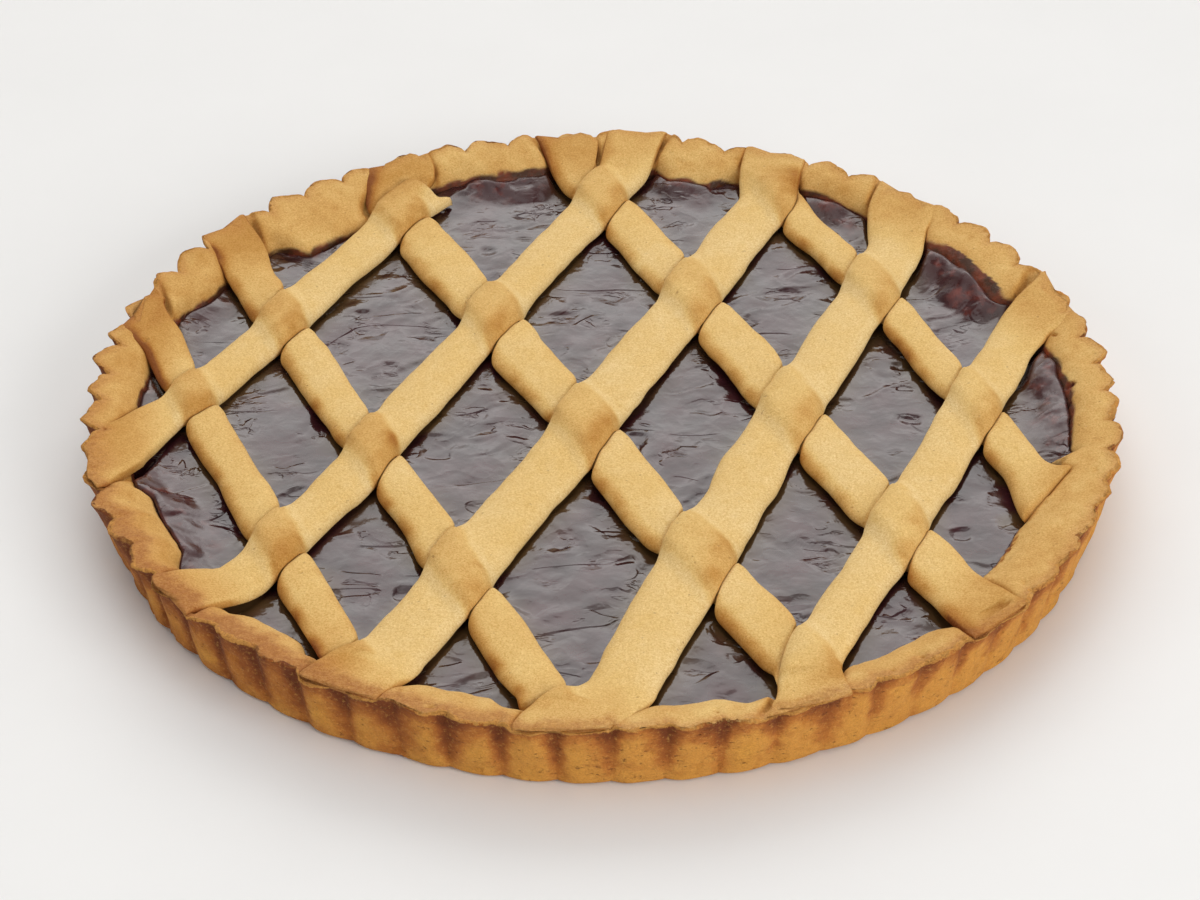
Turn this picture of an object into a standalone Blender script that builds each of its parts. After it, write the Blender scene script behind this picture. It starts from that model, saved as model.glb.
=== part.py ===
"""Jam crostata: a fluted shortcrust shell filled with jam, under a lattice of
pastry strips.  Five strips run over the other five, and their ends lie in seats
across the rim.  Metres, +Z up, origin at the centre of the base."""

import math

import bmesh
import bpy
import numpy as np

# ---------------------------------------------------------------- driving sizes
NOTCH_RADIUS = 0.1365      # radius at the notches between flutes, at the top edge
FLUTES = 64
FLUTE_DEPTH = 0.0038       # how far a flute's crest stands out of its notches
FOOT_SHARE = 0.973         # the notches taper in to this share at the base
FOOT_DEPTH = 0.0016        # and a flute's crest stands out this far there
COLUMNS_PER_FLUTE = 3
FIRST_NOTCH = 3.2557       # radians, where the first notch stands

RIM_HEIGHT = 0.0214        # top outer edge of the crust
RIM_INNER_HEIGHT = 0.0166  # the rim's top slopes down to this at its inner edge
RIM_ROUND = 0.0014
FOOT_CHAMFER = 0.0012
FLOOR_HEIGHT = 0.0045      # thickness of the pastry base
JAM_TOP = 0.0128
GAP = 0.0003               # between pieces that touch

STRIP_THICKNESS = 0.0052
SQUASHED = 0.0030          # an under strip where another lies on it
SEAT_RISE = 0.0038         # a strip's underside climbs this much onto the rim
END_THICKNESS = 0.0047
END_FLARE = 1.12           # a strip's end spreads to this share of its width
RIM_START = 0.86           # shares of the notch radius between which a strip
RIM_END = 0.985            # climbs onto the rim, turns and flares

# The rim between the strip ends: first and last angle in degrees, and the
# radius of the inner edge there as a share of the notch radius.
RIM_PIECES = (
    (-11, 18, 0.920), (-43, -9, 0.876), (-64, -48, 0.905), (-90, -74, 0.900),
    (-113, -100, 0.895), (-136, -124, 0.900), (-164, -147, 0.905), (-196, -174, 0.918),
    (145, 157, 0.915), (120, 139, 0.865), (96, 108, 0.905), (72, 83, 0.895),
    (54, 63, 0.930), (23, 44, 0.900),
)
SEAT_SHARE = 0.93          # inner edge of the rim under the strip ends

# Each strip: the angle in degrees and the radius share where its line starts,
# the same where it ends, the line's bow and sway in millimetres, how many
# degrees each end turns along the rim, and its width in millimetres at the start
# and at the end.
STRIPS_OVER = (
    (-171.0, 0.985, 115.5, 0.900, 4.0, 1.5, 4.0, -3.5, 13.5, 14.5),
    (-138.0, 0.985, 84.5, 0.985, 1.5, 1.5, -3.0, 1.0, 15.5, 14.5),
    (-116.0, 0.985, 65.5, 0.985, 1.0, 0.0, -1.5, 2.0, 18.5, 17.0),
    (-90.5, 0.985, 47.0, 0.985, -1.0, -1.0, -3.5, 2.0, 19.0, 16.5),
    (-71.5, 0.985, 22.5, 0.985, -0.5, 0.0, 2.5, -1.0, 14.5, 15.5),
)
STRIPS_UNDER = (
    (162.0, 0.985, -118.5, 0.925, 0.0, 0.0, -0.5, -1.0, 12.0, 12.5),
    (143.5, 0.985, -95.0, 0.925, 0.0, 0.0, -1.0, -2.0, 14.0, 13.0),
    (121.0, 0.985, -65.5, 0.920, 0.5, -1.5, -4.5, -2.5, 17.0, 16.5),
    (95.5, 0.985, -44.0, 0.985, 0.0, -1.0, -1.0, -0.5, 15.5, 16.5),
    (67.0, 0.925, -18.8, 0.903, -2.5, 0.0, -3.5, 0.0, 12.5, 13.0),
)
# The last strip ends in a fishtail, cut along this line, beside the rim.
FISHTAIL_LENGTH = 0.014
FISHTAIL_FLARE = 0.65
FISHTAIL_SIDE = (0.605, 0.796)
LEAST_LEAN = 0.62          # a slanting end widens to at most 1 / 0.62

CRUST_COLOUR = (0.52, 0.29, 0.11, 1.0)
STRIP_COLOUR = (0.68, 0.43, 0.18, 1.0)
JAM_COLOUR = (0.035, 0.012, 0.014, 1.0)


# ---------------------------------------------------------------- helpers
def smooth(t):
    t = np.clip(t, 0.0, 1.0)
    return t * t * (3.0 - 2.0 * t)


def wobble(value, seed):
    """A repeatable unevenness between -1 and 1."""
    return (math.sin(value * 1.7 + seed * 5.1) + math.sin(value * 3.3 + seed * 2.3)) / 2


def material(name, colour, roughness):
    made = bpy.data.materials.new(name)
    made.use_nodes = True
    shader = made.node_tree.nodes["Principled BSDF"]
    shader.inputs["Base Color"].default_value = colour
    shader.inputs["Roughness"].default_value = roughness
    shader.inputs["Metallic"].default_value = 0.0
    return made


def add_object(name, mesh, collection, finish=None):
    made = bpy.data.objects.new(name, mesh)
    collection.objects.link(made)
    if finish is not None:
        mesh.materials.append(finish)
    return made


def loft(name, sections, close_ends=True):
    """A closed body through sections of equal point counts, capped at both ends."""
    shape = bmesh.new()
    rings = [[shape.verts.new(point) for point in section] for section in sections]
    count = len(sections[0])
    for near, far in zip(rings, rings[1:]):
        for i in range(count):
            j = (i + 1) % count
            shape.faces.new((near[i], near[j], far[j], far[i]))
    if close_ends:
        shape.faces.new(rings[0][::-1])
        shape.faces.new(rings[-1])
    bmesh.ops.recalc_face_normals(shape, faces=shape.faces)
    mesh = bpy.data.meshes.new(name)
    shape.to_mesh(mesh)
    shape.free()
    return mesh


# ---------------------------------------------------------------- crust shell
def inner_share(degrees):
    """Radius of the rim's inner edge, as a share of the notch radius."""
    for first, last, share in RIM_PIECES:
        middle, half = (first + last) / 2, (last - first) / 2
        off = abs((degrees - middle + 180) % 360 - 180)
        if off < half:
            return SEAT_SHARE + (share - SEAT_SHARE) * float(smooth((half - off) / 2.5))
    return SEAT_SHARE


def flute(angle):
    """0 at a notch, 1 on a flute's crest."""
    phase = ((angle - FIRST_NOTCH) * FLUTES / (2 * math.pi)) % 1.0
    return math.sin(math.pi * phase) ** 0.55 if 1e-6 < phase < 1 - 1e-6 else 0.0


def shell_mesh():
    columns = FLUTES * COLUMNS_PER_FLUTE
    shape = bmesh.new()

    def ring(count, radius, height):
        made = []
        for i in range(count):
            angle = FIRST_NOTCH + 2 * math.pi * i / count
            r = radius(angle)
            z = height(angle) if callable(height) else height
            made.append(shape.verts.new((r * math.cos(angle), r * math.sin(angle), z)))
        return made

    def outer(less=0.0, share=1.0, depth=FLUTE_DEPTH):
        def at(angle):
            uneven = 0.0003 * wobble(angle * 2.0, 1.0)
            return NOTCH_RADIUS * share + depth * flute(angle) + uneven - less
        return at

    def inner(more=0.0):
        return lambda angle: NOTCH_RADIUS * inner_share(math.degrees(angle)) + more

    def top(angle):
        return RIM_HEIGHT + 0.0004 * wobble(angle * 1.5, 3.0)

    def between(angle):
        return (outer(RIM_ROUND)(angle) + inner(0.0012)(angle)) / 2

    def join(near, far):
        count = len(near)
        for i in range(count):
            j = (i + 1) % count
            shape.faces.new((near[i], near[j], far[j], far[i]))

    def join_half(near, far):
        """near has twice the points of far."""
        for k in range(len(far)):
            a, b, c = near[2 * k], near[2 * k + 1], near[(2 * k + 2) % len(near)]
            p, q = far[k], far[(k + 1) % len(far)]
            shape.faces.new((a, b, p))
            shape.faces.new((b, q, p))
            shape.faces.new((b, c, q))

    def cap(points, height):
        middle = shape.verts.new((0.0, 0.0, height))
        for i in range(len(points)):
            shape.faces.new((points[i], points[(i + 1) % len(points)], middle))

    foot_under = ring(columns, outer(FOOT_CHAMFER, FOOT_SHARE, FOOT_DEPTH), 0.0)
    foot_side = ring(columns, outer(0.0, FOOT_SHARE, FOOT_DEPTH), FOOT_CHAMFER)
    wall_top = ring(columns, outer(), lambda a: top(a) - RIM_ROUND)
    crest = ring(columns, outer(RIM_ROUND), top)
    middle = ring(columns // 2, between,
                  lambda a: (top(a) + RIM_INNER_HEIGHT) / 2 + 0.0004)
    edge = ring(columns // 2, inner(0.0012), RIM_INNER_HEIGHT)
    lip = ring(columns // 2, inner(), RIM_INNER_HEIGHT - 0.0012)
    floor = ring(columns // 2, inner(), FLOOR_HEIGHT)

    cap(foot_under, 0.0)
    join(foot_under, foot_side)
    join(foot_side, wall_top)
    join(wall_top, crest)
    join_half(crest, middle)
    join(middle, edge)
    join(edge, lip)
    join(lip, floor)
    cap(floor, FLOOR_HEIGHT)
    bmesh.ops.recalc_face_normals(shape, faces=shape.faces)
    mesh = bpy.data.meshes.new("crust_shell")
    shape.to_mesh(mesh)
    shape.free()
    return mesh


def jam_mesh():
    """The jam, a disc that fills the shell up to its level."""
    count = FLUTES * COLUMNS_PER_FLUTE // 2
    angles = [FIRST_NOTCH + 2 * math.pi * i / count for i in range(count)]
    sections = []
    for height, less in ((FLOOR_HEIGHT + GAP, GAP), (JAM_TOP, GAP)):
        sections.append([])
        for angle in angles:
            r = NOTCH_RADIUS * inner_share(math.degrees(angle)) - less
            sections[-1].append((r * math.cos(angle), r * math.sin(angle), height))
    return loft("jam", sections)


# ---------------------------------------------------------------- strips
def centre_line(strip, samples=241):
    """Points along a strip's middle, its side directions and its half widths."""
    a0, r0, a1, r1, bow, sway, turn0, turn1, w0, w1 = strip
    start = r0 * NOTCH_RADIUS * np.array([math.cos(math.radians(a0)), math.sin(math.radians(a0))])
    end = r1 * NOTCH_RADIUS * np.array([math.cos(math.radians(a1)), math.sin(math.radians(a1))])
    length = np.linalg.norm(end - start)
    along = (end - start) / length
    across = np.array([along[1], -along[0]])
    s = np.linspace(0.0, 1.0, samples)
    off = 0.001 * (bow * np.sin(math.pi * s) + sway * np.sin(2 * math.pi * s))
    line = start + np.outer(s * length, along) + np.outer(off, across)
    share = np.linalg.norm(line, axis=1) / NOTCH_RADIUS
    rim = smooth((share - RIM_START) / (RIM_END - RIM_START))
    turn = np.radians(np.where(s < 0.5, turn0, turn1)) * rim
    c, n = np.cos(turn), np.sin(turn)
    line = np.stack([line[:, 0] * c - line[:, 1] * n, line[:, 0] * n + line[:, 1] * c], 1)
    way = np.gradient(line, axis=0)
    way /= np.linalg.norm(way, axis=1)[:, None]
    right = np.stack([way[:, 1], -way[:, 0]], 1)
    side = right
    # On the rim the cross section turns until it runs along the rim.
    out = line / np.linalg.norm(line, axis=1)[:, None]
    round_rim = np.stack([-out[:, 1], out[:, 0]], 1)
    round_rim *= np.sign((round_rim * side).sum(1))[:, None]
    side = side * (1 - rim)[:, None] + round_rim * rim[:, None]
    side /= np.linalg.norm(side, axis=1)[:, None]
    half = 0.0005 * (w0 + (w1 - w0) * np.clip(s, 0, 1)) * (1 + (END_FLARE - 1) * rim)
    if strip is STRIPS_UNDER[4]:
        step = np.linalg.norm(np.diff(line, axis=0), axis=1)
        left = step.sum() - np.concatenate([[0.0], np.cumsum(step)])
        tail = smooth(1 - left / FISHTAIL_LENGTH)
        side = side * (1 - tail)[:, None] - np.array(FISHTAIL_SIDE) * tail[:, None]
        side /= np.linalg.norm(side, axis=1)[:, None]
        half = half * (1 + FISHTAIL_FLARE * tail)
    lean = np.clip(np.abs((side * right).sum(1)), LEAST_LEAN, 1.0)
    return line, side, half / lean, rim


def nearest(line, other):
    """Distance from each point of line to another line."""
    apart = line[:, None, :] - other[None, :, :]
    return np.sqrt((apart ** 2).sum(2)).min(1)


def strip_sections(strip, crossed, over, extra=0.0, tall=0.0, beyond=(0.0, 0.0)):
    """Cross sections of a strip: few along its plain stretches, more where it
    rises over, or dips under, each strip in crossed."""
    line, side, half, rim = centre_line(strip)
    step = np.linalg.norm(np.diff(line, axis=0), axis=1)
    run = np.concatenate([[0.0], np.cumsum(step)])
    bump = np.zeros(len(line))
    keep = {0, len(line) - 1}
    for other in crossed:
        far_line, _, far_half, _ = centre_line(other)
        apart = nearest(line, far_line)
        if apart.min() > 0.004:
            continue
        at = int(apart.argmin())
        reach = float(far_half.mean()) / 0.8 + 0.0008
        off = np.abs(run - run[at])
        bump = np.maximum(bump, 1 - smooth((off - reach + 0.0010) / 0.0042))
        for where in (-reach - 0.0032, -reach + 0.0008, reach - 0.0008, reach + 0.0032):
            spot = run[at] + where
            if run[0] < spot < run[-1]:
                keep.add(int(np.abs(run - spot).argmin()))
    for low in range(10, len(line) - 9, 1):
        if all(abs(run[low] - run[k]) > 0.0080 for k in keep):
            keep.add(low)
    for share in (0.0, 0.5, 1.0):
        for half_line in (range(0, len(line) // 2), range(len(line) // 2, len(line))):
            spots = [i for i in half_line if 0.001 < rim[i] < 0.999]
            if spots:
                keep.add(min(spots, key=lambda i: abs(rim[i] - share)))
    order = []
    for index in sorted(keep):
        if order and run[index] - run[order[-1]] < 0.0012:
            continue
        order.append(index)
    order[-1] = len(line) - 1
    under = JAM_TOP + GAP + SEAT_RISE * rim
    thick = STRIP_THICKNESS + (END_THICKNESS - STRIP_THICKNESS) * rim
    if over:
        top = under + thick + bump * (SQUASHED + GAP - 0.0006)
        top = np.minimum(top, RIM_HEIGHT + 0.0004)
    else:
        top = under + thick + bump * (SQUASHED - thick)
    sections = []
    for i in order:
        low, high = under[i] - extra, top[i] + extra + tall
        rise = top[i] + extra - low
        wide = half[i] + extra
        profile = ((-0.94, 0.0), (0.94, 0.0), (1.0, 0.38), (0.80, 0.84), (0.0, 1.0),
                   (-0.80, 0.84), (-1.0, 0.38))
        if tall:
            profile = ((-1.0, 0.0), (1.0, 0.0), (1.0, 1.0), (-1.0, 1.0))
            rise = high - low
        sections.append([
            (line[i][0] + side[i][0] * u * wide, line[i][1] + side[i][1] * u * wide,
             low + v * rise)
            for u, v in profile
        ])
    # A cutter runs on past the strip's ends, with the same facets up to there.
    for further, first, second in ((beyond[0], 0, 1), (beyond[1], -1, -2)):
        if further:
            ahead = line[order[first]] - line[order[second]]
            ahead = ahead / np.linalg.norm(ahead) * further
            moved = [(x + ahead[0], y + ahead[1], z) for x, y, z in sections[first]]
            sections.insert(0 if first == 0 else len(sections), moved)
    return sections


# ---------------------------------------------------------------- build
for old in list(bpy.data.objects):
    bpy.data.objects.remove(old)

parts = bpy.data.collections.new("jam_crostata")
cutters = bpy.data.collections.new("cutters")
bpy.context.scene.collection.children.link(parts)
bpy.context.scene.collection.children.link(cutters)

crust_finish = material("baked_crust", CRUST_COLOUR, 0.75)
strip_finish = material("baked_strip", STRIP_COLOUR, 0.7)
jam_finish = material("jam", JAM_COLOUR, 0.12)

shell = add_object("crust_shell", shell_mesh(), parts, crust_finish)
jam = add_object("jam", jam_mesh(), parts, jam_finish)


def cutter(name, sections):
    made = add_object(name, loft(name, sections), cutters)
    made.hide_render = True
    made.display_type = "WIRE"
    return made


def cut(target, tool):
    modifier = target.modifiers.new("cut_" + tool.name, "BOOLEAN")
    modifier.operation = "DIFFERENCE"
    modifier.solver = "EXACT"
    modifier.object = tool


def past_rim(strip):
    """How far a seat's cutter runs on past the strip's two ends."""
    return tuple(0.009 if share > 0.95 else GAP for share in (strip[1], strip[3]))


overs, unders = [], []
for number, strip in enumerate(STRIPS_UNDER, 1):
    name = "strip_under_%d" % number
    sections = strip_sections(strip, STRIPS_OVER, over=False)
    unders.append(add_object(name, loft(name, sections), parts, strip_finish))
for number, strip in enumerate(STRIPS_OVER, 1):
    name = "strip_over_%d" % number
    sections = strip_sections(strip, STRIPS_UNDER, over=True)
    overs.append(add_object(name, loft(name, sections), parts, strip_finish))

# Each over strip is hollowed below where it lies on an under strip.
for number, strip in enumerate(STRIPS_UNDER, 1):
    tool = cutter("room_for_under_%d" % number,
                  strip_sections(strip, STRIPS_OVER, over=False, extra=GAP + 0.00005,
                                 beyond=(GAP, GAP)))
    line = centre_line(strip)[0]
    for target, other in zip(overs, STRIPS_OVER):
        if nearest(line, centre_line(other)[0]).min() < 0.016:
            cut(target, tool)

# The rim has a seat under each strip end, open to the outside.
for group, strips, crossed, over in (("over", STRIPS_OVER, STRIPS_UNDER, True),
                                     ("under", STRIPS_UNDER, STRIPS_OVER, False)):
    for number, strip in enumerate(strips, 1):
        tool = cutter("seat_for_%s_%d" % (group, number),
                      strip_sections(strip, crossed, over, extra=GAP + 0.0001,
                                     tall=0.006, beyond=past_rim(strip)))
        cut(shell, tool)

for made in [shell, jam] + overs + unders:
    made.data.shade_smooth()
    made.data.set_sharp_from_angle(angle=math.radians(35))
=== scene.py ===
"""Looks of the jam crostata: fluted shell, jam with a wrinkled skin, and a lattice
of ten crowned pastry strips.  Metres, +Z up, origin at the centre of the base."""

import math

import bpy
import numpy as np
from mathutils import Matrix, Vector


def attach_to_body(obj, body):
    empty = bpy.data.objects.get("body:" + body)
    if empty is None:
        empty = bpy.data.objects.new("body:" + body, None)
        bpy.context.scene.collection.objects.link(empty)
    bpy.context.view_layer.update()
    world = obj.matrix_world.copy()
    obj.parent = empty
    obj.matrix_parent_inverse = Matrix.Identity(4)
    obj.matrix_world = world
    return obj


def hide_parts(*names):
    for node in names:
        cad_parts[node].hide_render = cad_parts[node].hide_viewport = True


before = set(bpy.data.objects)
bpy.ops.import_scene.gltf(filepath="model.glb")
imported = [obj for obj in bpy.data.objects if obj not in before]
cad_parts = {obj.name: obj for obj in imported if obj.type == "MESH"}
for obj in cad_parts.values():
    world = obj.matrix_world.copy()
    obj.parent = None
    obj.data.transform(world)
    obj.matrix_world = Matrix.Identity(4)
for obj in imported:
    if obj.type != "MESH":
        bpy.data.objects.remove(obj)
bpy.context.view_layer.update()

# ------------------------------------------------------------------ sizes
R = 0.1365                 # radius at the notches of the top edge
FLUTES = 64
FLUTE_DEPTH = 0.0041       # at the top edge
FOOT_DEPTH = 0.0016        # at the foot
FOOT_SHARE = 0.973
FIRST_NOTCH = 3.2557
RIM_HEIGHT = 0.0213
RIM_FALL = 0.0030          # how much lower the rim is at its inner side
JAM_Z = 0.0128
STRIP_TOP = 0.0180         # crown of a strip lying on the jam
STRIP_UNDER = 0.0127       # its underside
BUMP = 0.0029              # rise of an over strip at a crossing
SQUASH = 0.0023            # drop of an under strip at a crossing
TUCK = 0.30                # how much an under strip narrows beside an over strip
RIM_START, RIM_END = 0.86, 0.985
END_FLARE = 1.12

# first and last angle of each bare stretch of rim, and where its inner edge lies
RIM_PIECES = (
    (-11, 18, 0.920), (-43, -9, 0.876), (-64, -48, 0.905), (-90, -74, 0.900),
    (-113, -100, 0.895), (-136, -124, 0.900), (-164, -147, 0.905), (-196, -174, 0.918),
    (145, 157, 0.915), (120, 139, 0.865), (96, 108, 0.905), (72, 83, 0.895),
    (54, 63, 0.930), (23, 44, 0.900),
)
SEAT_SHARE = 0.93

# angle, share of R, angle, share, bow mm, sway mm, turn, turn, width mm, width mm
OVER = (
    (-171.0, 0.985, 115.5, 0.900, 4.0, 1.5, 4.0, -3.5, 13.5, 14.5),
    (-138.0, 0.985, 84.5, 0.985, 1.5, 1.5, -3.0, 1.0, 15.5, 14.5),
    (-116.0, 0.985, 65.5, 0.985, 1.0, 0.0, -1.5, 2.0, 18.5, 17.0),
    (-90.5, 0.985, 47.0, 0.985, -1.0, -1.0, -3.5, 2.0, 19.0, 16.5),
    (-71.5, 0.985, 22.5, 0.985, -0.5, 0.0, 2.5, -1.0, 14.5, 15.5),
)
UNDER = (
    (162.0, 0.985, -118.5, 0.925, 0.0, 0.0, -0.5, -1.0, 12.0, 12.5),
    (143.5, 0.985, -95.0, 0.925, 0.0, 0.0, -1.0, -2.0, 14.0, 13.0),
    (121.0, 0.985, -65.5, 0.920, 0.5, -1.5, -4.5, -2.5, 17.0, 16.5),
    (95.5, 0.985, -44.0, 0.985, 0.0, -1.0, -1.0, -0.5, 15.5, 16.5),
    (67.0, 0.925, -18.8, 0.903, -2.5, 0.0, -3.5, 0.0, 12.5, 13.0),
)
FISHTAIL_LENGTH, FISHTAIL_FLARE, FISHTAIL_SIDE = 0.014, 0.95, (0.605, 0.796)

# Small tears and holes: plan position as shares of R, direction, length, width and
# depth in mm
TEARS = (
    (0.722, -0.655, 31.0, 6.2, 2.2, 1.2), (0.569, -0.806, 10.0, 1.4, 1.2, 0.9),
    (0.512, -0.846, 0.0, 1.3, 1.1, 0.7), (0.937, 0.063, 20.0, 2.4, 1.8, 1.1),
    (0.926, 0.011, 70.0, 1.9, 1.5, 1.0), (0.924, 0.232, 0.0, 1.7, 1.4, 1.0),
    (0.624, 0.671, -27.0, 12.5, 0.5, 0.35), (-0.93, 0.20, 60.0, 1.5, 1.1, 0.6),
    (-0.30, -0.945, 15.0, 2.4, 0.9, 0.7), (0.20, -0.955, -5.0, 1.8, 1.0, 0.7),
    (-0.62, 0.765, 35.0, 2.6, 0.8, 0.5), (0.30, 0.925, 10.0, 1.4, 0.9, 0.5),
)


# ------------------------------------------------------------------ numbers
def smooth(t):
    t = np.clip(t, 0.0, 1.0)
    return t * t * (3.0 - 2.0 * t)


def soft_max(a, b, k=0.0012):
    h = np.clip(0.5 + 0.5 * (a - b) / k, 0.0, 1.0)
    return b * (1 - h) + a * h + k * h * (1 - h)


def soft_min(a, b, k=0.0012):
    return -soft_max(-a, -b, k)


def lattice_hash(i, j, k, seed):
    h = (i * 374761393 + j * 668265263 + k * 1274126177 + seed * 974634777) & 0xFFFFFFFF
    h = ((h ^ (h >> 13)) * 1103515245) & 0xFFFFFFFF
    h = ((h ^ (h >> 15)) * 2246822519) & 0xFFFFFFFF
    return ((h ^ (h >> 16)) & 0xFFFFFF) / float(0xFFFFFF)


def noise(points, size, seed=0):
    """Smooth value noise between -1 and 1; size is the distance between its knots."""
    q = points / size
    base = np.floor(q).astype(np.int64)
    f = q - base
    f = f * f * f * (f * (f * 6 - 15) + 10)
    total = np.zeros(len(points))
    for dx in (0, 1):
        wx = f[:, 0] if dx else 1 - f[:, 0]
        for dy in (0, 1):
            wy = f[:, 1] if dy else 1 - f[:, 1]
            for dz in (0, 1):
                wz = f[:, 2] if dz else 1 - f[:, 2]
                total += wx * wy * wz * lattice_hash(
                    base[:, 0] + dx, base[:, 1] + dy, base[:, 2] + dz, seed)
    return total * 2 - 1


def fbm(points, size, seed=0, octaves=4, gain=0.5):
    total, weight, sum_weight = np.zeros(len(points)), 1.0, 0.0
    for octave in range(octaves):
        total += weight * noise(points + 17.3 * octave * size, size / 2 ** octave, seed + octave)
        sum_weight += weight
        weight *= gain
    return total / sum_weight


def flat(x, y, z=0.0):
    return np.stack([x, y, np.full_like(x, z)], 1)


# ------------------------------------------------------------------ outline
def tooth_values(index, seed):
    return lattice_hash(index.astype(np.int64), index.astype(np.int64) * 0 + 3,
                        index.astype(np.int64) * 0 + 7, seed)


def flute(theta):
    """Three shares, 0 in a notch and 1 on a crest: the pointed lobes of the top
    edge, the round flutes of the wall, and then the flute's number."""
    turn = ((theta - FIRST_NOTCH) * FLUTES / (2 * math.pi)) % FLUTES
    index = np.floor(turn).astype(np.int64) % FLUTES
    phase = turn - np.floor(turn)
    lean = 0.44 * (tooth_values(index, 5) - 0.5)
    phase = phase + lean * np.sin(math.pi * phase) ** 2
    rounded = (np.sin(math.pi * phase) ** 2 + 0.004) ** 0.30
    rounded = (rounded - 0.004 ** 0.30) / (1 - 0.004 ** 0.30)
    ramp = np.clip(1 - np.abs(2 * phase - 1), 0, 1) ** 0.80
    pointed = (1.122 - np.sqrt((1 - ramp) ** 2 + 0.015) - 0.1148) / (1.0 - 0.1148)
    degrees = (np.degrees(theta) + 180) % 360 - 180
    front = 0.5 + 0.5 * np.cos(theta - math.radians(-95))
    shallow = 1 - 0.30 * front ** 2 - 0.30 * np.exp(-((degrees + 38.0) / 26.0) ** 2)
    size = (0.74 + 0.32 * tooth_values(index, 9)) * shallow
    lobes = (0.35 + 0.65 * np.exp(-((degrees + 95.0) / 50.0) ** 4))
    return (pointed * (1 - lobes) + rounded * lobes) * size, rounded * size, index


def outline(theta):
    rise = flute(theta)[0]
    around = flat(np.cos(theta) * R, np.sin(theta) * R)
    curl = np.exp(-((np.degrees(theta) - 148.0 + 180) % 360 - 180) ** 2 / 2.4 ** 2)
    jagged = np.exp(-(((np.degrees(theta) - 172.0 + 180) % 360 - 180) / 34.0) ** 4)
    return R - 0.0009 * jagged + (FLUTE_DEPTH + 0.0017 * jagged) * rise + 0.0005 * noise(around, 0.022, 41) + 0.0007 * curl * rise \
        + 0.00030 * noise(around, 0.0034, 42) + 0.00022 * noise(around, 0.0015, 43)


def rim_inner(theta):
    degrees = np.degrees(theta)
    share = np.full(len(theta), SEAT_SHARE)
    for first, last, value in RIM_PIECES:
        middle, half = (first + last) / 2, (last - first) / 2
        off = np.abs((degrees - middle + 180) % 360 - 180)
        share = np.where(off < half,
                         SEAT_SHARE + (value - SEAT_SHARE) * smooth((half - off) / 3.0), share)
    around = flat(np.cos(theta) * R, np.sin(theta) * R)
    return R * share + 0.0006 * noise(around, 0.016, 77) + 0.00025 * noise(around, 0.004, 78)


def plateau(x, y):
    """Height of the rim's top: even where strip ends cross it."""
    r = np.hypot(x, y)
    theta = np.arctan2(y, x)
    q = np.clip((R + 0.0025 - r) / (R + 0.0025 - 0.900 * R), 0.0, 1.5)
    around = flat(x, y)
    curl = np.exp(-((np.degrees(theta) - 148.0 + 180) % 360 - 180) ** 2 / 2.2 ** 2)
    rise = flute(theta)[0]
    notch = (1 - smooth(rise / 0.30)) * smooth((r - R + 0.0050) / 0.0050)
    high = np.exp(-((np.degrees(theta) - 33.0) / 11.0) ** 2) * 0.35 + np.exp(
        -((np.degrees(theta) - 3.0) / 14.0) ** 2) * 0.2
    return RIM_HEIGHT - RIM_FALL * q ** 1.3 * (1 - high) + 0.00040 * noise(around, 0.019, 12) \
        + 0.00020 * noise(around, 0.007, 13) + 0.0009 * curl * smooth((r - R + 0.006) / 0.006) \
        - 0.0006 * notch


def edge_round(x, y, radius=0.0007, drop=0.0006):
    """How far the top is rounded down close to the outline."""
    r = np.hypot(x, y)
    inside = np.clip((outline(np.arctan2(y, x)) - r) / radius, 0.0, 1.0)
    return drop * (1 - np.sqrt(np.clip(1 - (1 - inside) ** 2, 0, 1)))


def tears(x, y):
    """Depth of the small tears and holes, and how dark they are: painted shade, darker the deeper the hole.
    """
    depth, dark = np.zeros_like(x), np.zeros_like(x)
    for cx, cy, turn, length, width, deep in TEARS:
        c, n = math.cos(math.radians(turn)), math.sin(math.radians(turn))
        dx, dy = x - cx * R, y - cy * R
        a = (dx * c + dy * n) / (0.0005 * length)
        b = (dy * c - dx * n + 0.0004 * np.sin(900 * dx)) / (0.0005 * width)
        d = np.sqrt(np.minimum(a * a + b * b, 9.0))
        d = d * (1 + 0.35 * noise(flat(x, y, 0.3), 0.0012, 301)) if length > 3 and width > 1 else d
        hole = 1 - smooth((d - 0.55) / 0.75)
        depth = np.maximum(depth, 0.001 * deep * hole)
        dark = np.maximum(dark, smooth(1.7 * hole) * min(1.0, 0.35 + 0.6 * deep))
    return depth, dark


def toasting(x, y):
    """0 to 1: how far the outer band of the rim's top is toasted, most at the
    front left."""
    r = np.hypot(x, y)
    theta = np.arctan2(y, x)
    spread = flat(x, y)
    inward = outline(theta) - r
    front_left = np.exp(-(((np.degrees(theta) + 132.0 + 180) % 360 - 180) / 40.0) ** 2)
    right_side = np.exp(-((np.degrees(theta) + 52.0) / 18.0) ** 2)
    back = np.exp(-((np.abs(np.degrees(theta) - 75.0)) / 50.0) ** 2)
    strength = 0.52 + 0.40 * front_left + 0.18 * right_side - 0.10 * back
    width = 0.0034 + 0.0062 * front_left + 0.0014 * right_side
    reach = width * (1 + 0.55 * fbm(spread, 0.0075, 107, 3, 0.6))
    return np.clip(strength * (1 - smooth((inward - 0.35 * reach) / (0.9 * reach))), 0, 1)


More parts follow.
